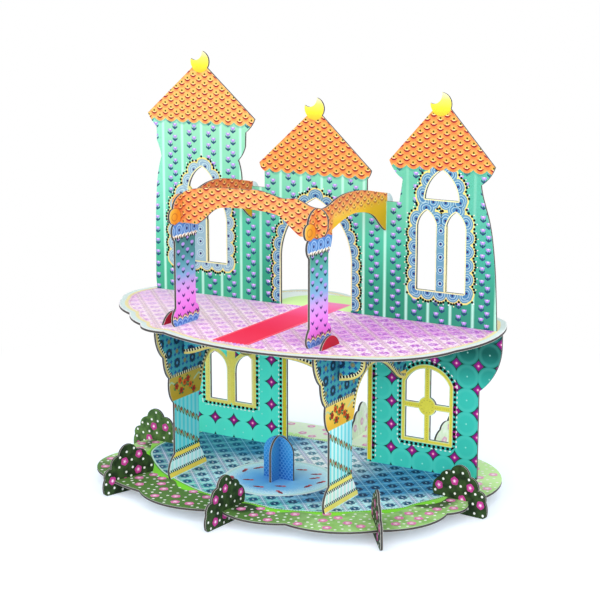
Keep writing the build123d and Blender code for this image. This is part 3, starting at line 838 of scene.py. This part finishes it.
def blossom(trim, u, v, r, turn, petals, glow, layer=4):
    """A round flower of five petals with a paler ring and a white middle."""
    trim.add([round_from(u, v, r * (0.84 + 0.16 * abs(math.cos(2.5 * (a + turn)))), a)
              for a in turns(30)], petals, layer)
    trim.dot(u, v, 0.52 * r, glow, layer + 1, 10)
    for i in range(5):
        a = 2 * math.pi * (i + 0.5) / 5 - turn
        trim.dot(*round_from(u, v, 0.5 * r, a), 0.15 * r, petals, layer + 2, 6)
    trim.dot(u, v, 0.24 * r, "#fff0f6", layer + 3, 8)


DOT_WHITE = "#fafcf4"
GARDEN_BOX = (-198, 202, -124, 196)
BUSH_BOX = (0, 61, 1, 49)
PALE_BUSHES = ("bush_back_left", "bush_back", "bush_back_right")


def fitting(shape, room, tiles_room=None):
    """A test for places with room to an outline's edge, and to the tiles on the lawn."""
    return lambda p: (inside(p, shape) and clearance(p, shape) > room
                      and (tiles_room is None or not inside(p, TILE_EDGE)
                           and clearance(p, TILE_EDGE) > tiles_room))


trim = Trim("garden_blossoms", "base_plate", "garden_print", faces=(1,))
flowers = scatter(5, 90, GARDEN_BOX, fitting(plate_edge, 6, 6), 14.5)
for i, (x, y) in enumerate(flowers):
    pinks = ("#f5a3d0", "#fddcec") if y > 60 else ("#e87cb8", "#fcc2de")
    blossom(trim, x, y, 4.8, i * 0.7, *pinks)
for x, y in scatter(6, 520, GARDEN_BOX, fitting(plate_edge, 2.5, 7), 6.8,
                    [(f, 7.2) for f in flowers]):
    trim.dot(x, y, 1.5, DOT_WHITE, 3, 7)
trim.done()

for n, bush in enumerate(BUSHES):
    shape = loops(bush)[0]
    trim = Trim(bush + "_blossoms", bush, "bush_print")
    flowers = scatter(30 + n, 5, BUSH_BOX, fitting(shape, 5.2), 15)
    pinks = ("#f5bcdc", "#fde4f0") if bush in PALE_BUSHES else ("#c93f96", "#f08acb")
    for i, (u, v) in enumerate(flowers):
        blossom(trim, u, v, 4.4, i * 0.9 + n, *pinks, 3)
    for u, v in scatter(60 + n, 20, BUSH_BOX, fitting(shape, 2.2), 7.6,
                        [(f, 6.8) for f in flowers]):
        trim.dot(u, v, 1.35, DOT_WHITE, 2, 8)
    trim.done()


# Prints of the boards

STRIPE_PITCH = 23.97
SPRIG_PITCH = 12.4
ROUND_X, ROUND_Z = 23.83, 24.4
SCALE_PITCH = 8.9
MOONS = ((-139, 417.5), (-3, 376.5), (136, 388))
MOON_R = 11
SHAFT_FROM, GOLD_FROM, CAPITAL_FROM = 37, 93.5, 117.5
CAPITAL_PITCH, CAPITAL_ROW, CAPITAL_Z = 27.0, 12.0, 119.0
DROP_PITCH, DROP_ROW, DROP_Z = 15.6, 6.15, 190.0
FOOT_TOP, CAP_FROM, CAP_TOP = 181.5, 261.5, 275.5
CAP_PITCH = 13.0
CARPET_FRONT, CARPET_BACK = -91, 106


def sprig(pen, colour, a, b):
    """A small flat tulip on a dark stalk with two leaves."""
    wide = a.size()
    stalk = wide.under(0.6, 0.4) * b.within(-4.2, 0.2, 0.4)
    leaves = (b + 3.4 - wide * 0.7).near(0.95, 0.4) * wide.under(3.2, 0.5)
    head = far(a * 0.38, (b - 1.0 - wide * 0.3 + a.cell(2.2).size() * 0.7) * 0.66)
    return pen.coats(
        colour, ("#23476a", stalk.most(leaves)), ("#ab84da", head.under(1.0, 0.3)),
        ("#eee2ff", far(a * 0.6, b - 1.6).under(0.7, 0.5) * 0.7))


def roof_scales(pen, colour, x, h):
    """Smiling marks with a seed above them, in staggered rows, on soft scales."""
    places = [(x.cell(EAVE_PITCH, EAVE_PHASE + half * EAVE_PITCH),
               h.cell(SCALE_PITCH, 4.5 + half * SCALE_PITCH)) for half in (0, 0.5)]
    for a, b in places:
        colour = pen.coats(
            colour, ("#f6c15c", far(a * 0.7, b - 1.7).under(2.2, 2.0) * 0.5),
            ("#dd6c3a", far(a * 0.6, b + 2.2).under(1.9, 1.6) * 0.6))
    for a, b in places:
        bow = a * a
        smile = (b - bow * 0.15).over(-2.0, 0.4) * (b - bow * 0.04).under(0.1, 0.4)
        pale = (b - bow * 0.05).within(-0.2, 0.6, 0.3)
        colour = pen.coats(
            colour, ("#94202b", smile * a.near(4.1, 0.6)),
            ("#ffe6a0", pale * a.near(1.5, 0.6)),
            ("#4d5410", far(a, b - 1.9).under(1.1, 0.4)))
    return colour


def upper_wall_print(pen, x, z):
    left, right = x.under(LEFT_TOWER, 1), x.over(RIGHT_TOWER, 1)
    faded = right * z.over(212, 30) * -0.62 + 0.8
    wall = pen.ramp(
        z, (173, "#2b8c6a"), (205, "#349a78"), (250, "#4cba96"), (295, "#78cda9"),
        (360, "#98d6b0"))
    wall = pen.coats(
        wall, ("#3f9c8e", right * (x - z * 0.05).over(104, 80) * 0.56),
        ("#8ee0c4", x.under(-184, 16) * z.over(230, 40) * 0.5),
        ("#52b494", right * z.over(290, 40) * 0.6), ("#56c79c", left * z.under(255, 30) * 0.4),
        ("#268052", right * z.under(225, 40) * 0.3),
        ("#bff5dd", x.cell(STRIPE_PITCH, 5.9).near(1.4, 1.6) * faded))
    c = x.cell(STRIPE_PITCH, 17.9)
    rise = z + c.over(0, 0.1) * (SPRIG_PITCH / 2)
    wall = sprig(pen, wall, c.size() - 3.0, rise.cell(SPRIG_PITCH, 343.75))
    h = z - (left * (LEFT_EAVE - MIDDLE_EAVE) + right * (RIGHT_EAVE - MIDDLE_EAVE)
             + MIDDLE_EAVE)
    bump = x.cell(EAVE_PITCH, EAVE_PHASE)
    over_eave = h - bump * bump * EAVE_CURVE
    tiles = pen.coats("#ee9f52", ("#f4b366", left), ("#e8934c", right))
    colour = pen.coats(
        wall, ("#3f9480", over_eave.within(-2.2, 0, 2.0) * 0.55),
        (roof_scales(pen, tiles, x, h), over_eave.over(0, 0.5)))
    for cx, cz in MOONS:
        moon = pen.ramp(
            z, (cz - MOON_R, "#eebc34"), (cz - 4, "#f6dc36"), (cz + 4, "#f9e765"),
            (cz + MOON_R, "#fdf4c0"))
        colour = pen.mix(colour, moon, far(x - cx, z - cz).under(MOON_R + 0.6, 0.4))
    return colour


def lower_wall_print(pen, x, z):
    d = far(x.cell(ROUND_X, -125.6), z.cell(ROUND_Z, 45.7))
    a, b = x.cell(ROUND_X, -137.5).size(), z.cell(ROUND_Z, 33.5).size()
    star = pen.coats(
        "#133f30", ("#85197f", (a + b).under(5.3, 0.6)), ("#c02c8c", (a + b).under(2.9, 0.8)),
        ("#ffc6dc", far(a, b).under(0.95, 0.5)))
    return pen.coats(
        pen.ramp(x, (-200, "#5ff0d6"), (-40, "#4dead0"), (60, "#43d0bc"), (200, "#38bcae")),
        # painted shadow of the floor plate: the wall darkens towards its top, most on the right
        ("#0f5750", z.over(124, 42) * x.over(92, 90) * 0.96), ("#1f7a78", z.over(160, 24) * 0.5),
        ("#7df0de", d.within(9.0, 12.0, 2.4) * 0.12), ("#b4f5ea", d.under(0.7, 0.8) * 0.7),
        (star, d.over(12.55, 0.5)))


def capital_flowers(pen, u, z):
    """Dark ring flowers and small rosettes on turquoise."""
    cross_u, cross_z = u.cell(6.75, 3.4).size(), z.cell(6.0, 2.0).size()
    cross = (cross_u + cross_z).under(2.3, 0.6) * cross_u.least(cross_z).under(0.8, 0.4)
    row = u + z.odd(CAPITAL_ROW, CAPITAL_Z) * (CAPITAL_PITCH / 2)
    a, b = row.cell(CAPITAL_PITCH), row.cell(CAPITAL_PITCH, CAPITAL_PITCH / 2)
    v = z.cell(CAPITAL_ROW, CAPITAL_Z)
    ring = far(a, v) - (a.size() - v.size()).size() * 0.12
    rosette = far(b, v)
    return pen.coats(
        "#4fb8c0", ("#409fb2", pen.noise(5.0)), ("#2357a6", cross),
        ("#142f4b", ring.within(1.5, 4.6, 0.6)), ("#4f8fd0", ring.under(1.3, 0.6)),
        ("#7c8a62", rosette.under(2.6, 0.8)), ("#b08a5a", rosette.under(1.1, 0.5)))


def lower_side_print(pen, y, z, column, dim):
    u = y - column
    line = u.cell(7.0).size().over(1.75, 1.2)
    shaft = pen.coats(
        "#e2fdf8", ("#7fe4ea", line), ("#4fc8dc", u.over(8, 26) * 0.5),
        ("#45b9c8", u.under(6, 20) * (0.4 * dim)), ("#22cdce", 0.48 * dim))
    foot = pen.coats("#ffffff", ("#cff8f4", line), ("#7fe6ec", 0.25 * dim))
    slant = z + u * 0.53
    for height in (77.4, 53.6):
        b = slant - height
        a = u.cell(5.2)
        leaf = far(a * 0.4, (b + a * 0.9) * 0.42)
        shaft = pen.coats(
            shaft, ("#4d5a2c", leaf.within(0.55, 1.1, 0.3)),
            ("#8fae62", leaf.under(0.6, 0.3) * 0.8),
            ("#a8452f", far(u.cell(10.4, 2.6), b - 0.6).under(1.6, 0.6)))
    chevron = (z - 113 + (u.size() - 24).size() * 0.55).near(0.9, 0.8)
    gold = pen.coats(
        "#efbb38", ("#f4cf62", (z - 96).over(9, 14)),
        ("#e6a030", far(u * 0.6, z - 100).under(5, 8) * 0.5), ("#8c7c10", 0.6 * dim),
        ("#9fd0b0", chevron * u.size().over(15, 2) * 0.8))
    # painted shadow of the floor plate: a deep blue patch high on the capital
    deep = far(u * 0.8 - 8, z - 152).under(14, 12)
    flowers = pen.coats(capital_flowers(pen, u, z), ("#1b4470", deep * 0.7), ("#10382e", 0.24))
    colour = pen.coats(
        foot, (shaft, z.over(SHAFT_FROM, 0.4)), (gold, z.over(GOLD_FROM, 0.4)),
        (flowers, z.over(CAPITAL_FROM, 0.4)), ("#b81f33", z.over(FLOOR_TOP - 0.5, 0.3)))
    for low, high in ((34.6, 39.6), (15.2, 20.6)):
        colour = pen.mix(colour, "#ffdf5c" if dim else "#ffee7a", z.within(low, high, 0.4))
    for row in (40.6, 33.6, 21.6):
        tick = (u + (z - row) * 0.7).cell(3.3).near(0.95, 0.4)
        colour = pen.mix(colour, "#0c1114", tick * (z - row).near(1.6, 0.4))
    return colour


def lower_arch_print(pen, u, z):
    # painted shade under the floor plate: the arch darkens towards its top
    return pen.mix(capital_flowers(pen, u, z), "#1d4d6e", (z - 148).over(8, 24) * 0.45)


def upper_side_print(pen, y, z, column, dim):
    u = y - column
    shaft = pen.ramp(
        z, (184, "#f07ae4"), (200, "#f594f6"), (213, "#d9aaf2"), (222, "#8fb6e2"),
        (234, "#68b9c4"), (248, "#55a99c"), (260, "#468f78"))
    a = (u + z.odd(DROP_ROW, DROP_Z) * (DROP_PITCH / 2)).cell(DROP_PITCH, -2.0)
    b = z.cell(DROP_ROW, DROP_Z)
    head = z.over(214, 12)
    drop = (b + 1.0 + head * 0.9 - a.size() * 0.8).near(1.15, 0.5)
    shaft = pen.coats(
        shaft, ("#3f6d84", z.over(232, 20) * (0.45 * dim)),
        (pen.mix("#4a1f7c", "#1d3a5c", head), drop * a.near(2.4, 0.6)),
        ("#b99cea", far(a * 0.36, (b - 1.5) * 0.6).under(1.0, 0.4) * head))
    # foot block: blue scallops under a pale zigzag
    lobe = u.cell(9.0)
    wave = z - FOOT_TOP + lobe * lobe * 0.14
    foot = pen.coats(
        "#4c78c8", ("#92b6e6", far(lobe, z - 174).within(4.0, 5.4, 0.8)),
        ("#7ea6de", far(lobe, z - 173).under(2.6, 0.8)), ("#f6e3b4", wave.within(-0.4, 2.0, 0.6)))
    # cap: a row of blue scallops with a dotted edge below
    low = z - CAP_FROM + u.cell(CAP_PITCH / 2).size() * 0.45
    lobe = far(u.cell(CAP_PITCH, 5.0), z - 267.5)
    cap = pen.coats(
        "#5288cc", ("#a8cbec", lobe.within(4.4, 5.6, 0.8)),
        ("#86aee0", lobe.within(1.8, 3.2, 0.8)), ("#2d2b66", lobe.under(1.4, 0.4)),
        ("#fdf9e2", low.under(2.1, 0.6)))
    colour = pen.coats(
        foot, (shaft, wave.over(2.0, 0.5)),
        ("#6a1c2a", far(u.cell(3.0), wave - 1.6).under(1.1, 0.4)), (cap, low.over(-1.2, 0.5)),
        ("#0f0c10", far(u.cell(3.6), low + 0.9).under(1.35, 0.3)),
        ("#8c2a34", far(u.cell(6.0, 1.5), low - 0.9).under(0.8, 0.4)))
    # orange top, running back as the arch with its golden underside
    arch = pen.ramp(
        z + (y - 30).size() * 0.12, (272, "#c79a1c"), (288, "#f0c126"), (296, "#f1c04e"),
        (304, "#ea9c5c"), (312, "#d98550"))
    arch = pen.coats(
        arch, ("#d3a61a", y.over(30, 30) * z.under(296, 6) * 0.8),
        ("#cf7442", z.over(288, 6) * dim))
    top = pen.coats(
        "#ec9450", ("#d97840", far(u * 0.7 - 4, z - 288).under(9, 9) * 0.6), (arch, u.over(27, 6)))
    shade = z.over(291, 6).most(u.under(26, 4))
    # the golden curl at the front
    high = z.over(CAP_TOP - 1, 0.5)
    curl = far((u + 15.5) * 0.77, z - 281)
    gold = pen.coats(
        "#e8962a", ("#f7c84a", (z * 0.6 - u).over(188, 12)),
        ("#b8622a", curl.within(3.0, 3.9, 0.6) * (z + u).over(258, 3) * 0.7))
    top = pen.coats(
        top, (roof_scales(pen, top, y, z - 4.0), shade * 0.85),
        ("#a8542c", curl.under(9.2, 0.8) * high * 0.6), (gold, curl.under(8.2, 0.5) * high),
        ("#d2e3e4", y.over(76, 2)))
    above = (z + u.cell(CAP_PITCH, 5.0).size() * 0.35).over(CAP_TOP, 0.5)
    return pen.mix(colour, top, above.most(u.over(27, 0.5)))


def upper_arch_print(pen, u, z):
    return roof_scales(pen, pen.mix("#e29c62", "#d8864c", u.under(-40, 70) * 0.6), u, z - 2.0)


def floor_print(pen, x, y):
    shade = ((y - x * 0.3).over(58, 40) * 0.5).most(
        (x - y * 0.2).over(40, 60) * (y - x * 0.9).over(-118, 16))
    left = x.under(-50, 60)
    ground = pen.coats("#fff0f6", ("#fbdcf0", pen.noise(22.0)), ("#de86e2", shade * 0.85))
    motif = pen.coats(
        "#d08ede", ("#b058c4", (x + y * 0.6).over(20, 160)),
        ("#ecb6ea", pen.noise(3.0).over(0.55, 0.1) * 0.6), ("#dcc4dc", left * 0.5))
    leaf = pen.mix("#9c7c94", "#c4b4c0", left * 0.8)
    terrace = pen.coats(
        "#edf5f1", ("#dcebe4", pen.noise(12.0)), ("#cdf0a0", far(x * 0.85, y - 96).under(44, 3)))
    carpet = pen.ramp(
        y, (-92, "#e62c54"), (-40, "#ee1c4a"), (30, "#ea2e62"), (70, "#ea5290"),
        (CARPET_BACK, "#f08cbc"))
    carpet = pen.mix(carpet, "#fb8aa0", (x - 2.5).size().within(17.6, 18.8, 0.4) * 0.5)
    fringe = (y + x.cell(4.2).size() * 1.4).over(CARPET_FRONT, 0.5)
    return pen.coats(
        tile_pattern(pen, x, y, ground, motif, "#f0d8da", leaf, "#cbabba"),
        ("#fffafc", pen.noise(2.6).over(0.6, 0.05) * 0.5),
        ("#c05fc6", pen.noise(2.0).under(0.42, 0.05) * (left * -0.45 + 0.65)),
        (terrace, y.over(76.5, 0.5)),
        (carpet, x.within(-17.5, 23, 0.4) * fringe * y.under(CARPET_BACK, 0.5)))


def fountain_print(pen, u, z, deep):
    wave = far((u + z.odd(2.6) * 2.0).cell(4.0), z.cell(2.6) + 0.8)
    return pen.coats(
        pen.ramp(z, (14, "#2468b4"), (34, "#2f86cc"), (58, "#4aa2dc")),
        (deep, u.near(9, 14) * 0.7), ("#7cc2ea", wave.within(1.6, 2.1, 0.4) * 0.45))


def bush_print(pen, u, v, dark, mid):
    return pen.coats(
        dark, (mid, pen.noise(8.0).over(0.52, 0.3)),
        (mid, pen.noise(1.6, 3.0).over(0.6, 0.2) * 0.35))


dress("upper_wall", upper_wall_print)
dress("lower_wall", lower_wall_print)
dress("base_plate", grass, reverse="#dfe5df")
dress("floor_plate", floor_print, reverse="#e6ece8")
dress("lower_front_arch", lower_arch_print)
dress("upper_front_arch", upper_arch_print)
for side in ("left", "right"):
    dim = float(side == "left")      # the left columns stand in the shade
    dress("lower_side_panel_" + side, lower_side_print, LOWER_COLUMNS[side][1], dim)
    dress("upper_side_panel_" + side, upper_side_print, UPPER_COLUMNS[side][1], dim)
dress("fountain_along", fountain_print, "#0b4f9e")
dress("fountain_across", fountain_print, "#2f7fc6")
for bush in BUSHES:
    if bush in PALE_BUSHES:
        dress(bush, bush_print, "#dff2cf", "#f8fff0")
    elif bush == "bush_left":
        dress(bush, bush_print, "#33502a", "#587c3e")
    else:
        dress(bush, bush_print, "#1c2b19", "#38522a")


# Borders of the lower capitals and arch, and of the floor plate

CREAM = "#f4edc2"
GARLAND = ((-15, 107), (-9, 112), (-7, 101.5), (-1, 108.5), (5, 111), (9, 104), (15, 98.5))
TICKS = ("#0f1316", 2, 2.1, 3.7)      # colour, layer, length and pitch
EDGE_YELLOW, DIM_YELLOW = "#f3dc7c", "#dfc268"
COLUMN_SLOT = 92.0


def bordered(trim, path, code):
    """A coloured edge with black ticks on cream inside it."""
    trim.strip(path, 0.3, 2.4, code, 1)
    trim.strip(path, 2.4, 5.1, CREAM, 1)
    trim.dashes(path, 2.5, 5.1, *TICKS)


for side in ("left", "right"):
    name = "lower_side_panel_" + side
    column = LOWER_COLUMNS[side][1]
    shape = Path(loops(name)[0], True)
    trim = Trim(name + "_borders", name, "lower_column_print")
    # the board is on the left, so the outline runs up the back and down the front
    for start, end in (((column - 49, 170.5), (column - 26.5, 118.5)),
                       ((column + 28, 104), (94, 109))):
        bordered(trim, shape.cut(start, end), EDGE_YELLOW if side == "right" else DIM_YELLOW)
    band = Path([(column - 26, 117.4), (column + 26.5, 117.4)])
    trim.strip(band, 0.1, 2.7, CREAM, 1, step=4)
    trim.dashes(band, 0.1, 2.7, *TICKS)
    # a garland of flowers and leaves on the gold band
    rng = random.Random(3)
    for i, (out, v) in enumerate(GARLAND):
        u = column + out
        for k in range(5):
            leaf = ("#2a7440", "#7aa23e")[k % 2]
            trim.dot(*round_from(u, v, 4.0, rng.uniform(0, 6.3), 0.85), 1.9, leaf, 2, 7, 0.7)
        for a in turns(5):
            trim.dot(*round_from(u, v, 2.0, a + i), 1.6, ("#b02f1a", "#d9581c")[i % 2], 3, 7)
        trim.dot(u, v, 1.0, "#5a2a12", 4, 7)
    trim.done()

trim = Trim("lower_front_arch_border", "lower_front_arch", "lower_arch_print")
arch_edge = Path(loops("lower_front_arch")[0], True).cut((-121, 168), (121, 168))
bordered(trim, Path([p for p in arch_edge.points if abs(abs(p[0]) - COLUMN_SLOT) > 2.4]),
         EDGE_YELLOW)
trim.done()

floor_edge = Path(loops("floor_plate")[0], True)
trim = Trim("floor_plate_border", "floor_plate", "floor_print", faces=(1,))
trim.strip(floor_edge, 0.2, 6.2, "#d9eae6", 1, step=1.5)
trim.strip(floor_edge, 0.2, 1.2, "#f1f7f5", 2, step=1.5)
trim.strip(floor_edge, 6.0, lambda s: 8.6 + 1.5 * abs(math.sin(s * math.pi / 9)), "#f2e4ae", 2,
           step=1.5)
trim.dots(floor_edge, 11.6, 0.6, "#e39bb2", 3, 3.6)
trim.done()


# Camera, light and floor

AZIMUTH, ELEVATION = math.radians(30.45), math.radians(12.39)
LEVEL = math.cos(ELEVATION)
EYE = (0.8356, -1.4261, 0.5513)
AIM = Vector((0, 0, 0.18))
WHITE = (1, 1, 1, 1)
FLOOR_REACH, FLOOR_Z = 6.0, -0.0003


def looking(way):
    """The turn of a camera or lamp that looks along a way."""
    return way.to_track_quat("-Z", "Y").to_euler()


camera = new_object("camera", bpy.data.cameras.new("camera"))
camera.location = EYE
camera.rotation_euler = looking(Vector((-math.sin(AZIMUTH) * LEVEL, math.cos(AZIMUTH) * LEVEL,
                                        -math.sin(ELEVATION))))
camera.data.lens = 101.64
camera.data.sensor_width = 36
scene.camera = camera


def lamp(name, place, size, watts, colour=(1, 1, 1)):
    data = bpy.data.lights.new(name, "AREA")
    data.shape = "DISK"
    data.size = size
    data.energy = watts
    data.color = colour
    made = new_object(name, data)
    made.location = place
    made.rotation_euler = looking(AIM - Vector(place))


lamp("key_light", (-0.9, -2.0, 1.9), 1.6, 12)
lamp("low_light", (0.5, -2.3, 1.0), 2.0, 27)
lamp("fill_light", (2.0, -1.2, 1.3), 1.8, 22, (0.97, 0.99, 1.0))
lamp("top_light", (0.1, -0.6, 2.6), 2.0, 14)
lamp("back_light", (0.3, 2.0, 2.0), 1.6, 14)


def seen(pen):
    """1 where a thing is looked at, straight or by way of gloss or glass, and 0 where it only
    gives light."""
    direct, glossy, through = (
        Field(pen, pen.make("LightPath", {}, "Is %s Ray" % kind))
        for kind in ("Camera", "Glossy", "Transmission"))
    return direct.most(glossy).most(through)


world = bpy.data.worlds.new("world")
scene.world = world
world.use_nodes = True
nodes = world.node_tree.nodes
pen = Pen(world.node_tree)
pen.fill(nodes["Background"], {"Color": WHITE, "Strength": 1.0})
ambient = pen.make("Background", {"Color": (0.95, 0.97, 1.0, 1), "Strength": 0.66})
pen.fill(nodes["World Output"], {"Surface": pen.make("MixShader", {
    0: seen(pen), 1: ambient, 2: nodes["Background"].outputs[0]})})

mesh = bpy.data.meshes.new("studio_floor")
mesh.from_pydata([(FLOOR_REACH * x, FLOOR_REACH * y, FLOOR_Z)
                  for x, y in ((-1, -1), (1, -1), (1, 1), (-1, 1))], [], [(0, 1, 2, 3)])
floor = new_object("studio_floor", mesh)
paper, pen = new_material("studio_paper")
nodes = paper.node_tree.nodes
shader = nodes["Principled BSDF"]
looked_at = seen(pen)
pen.fill(shader, {
    "Base Color": (0.76, 0.83, 0.92, 1), "Roughness": 0.95, "Specular IOR Level": 0.0,
    "Emission Color": WHITE, "Emission Strength": looked_at * 0.25})
# the floor keeps the shadow near the object, and is as white as the background further off
place = pen.make("TexCoord", {}, "Object")
away = Field(pen, pen.make("VectorMath", {0: place}, "Value", operation="LENGTH")).over(0.42, 0.5)
white = pen.make("Emission", {"Color": WHITE, "Strength": 1.0})
pen.fill(nodes["Material Output"], {"Surface": pen.make("MixShader", {
    0: looked_at * away, 1: shader.outputs[0], 2: white})})
mesh.materials.append(paper)

scene.view_settings.view_transform = "Standard"
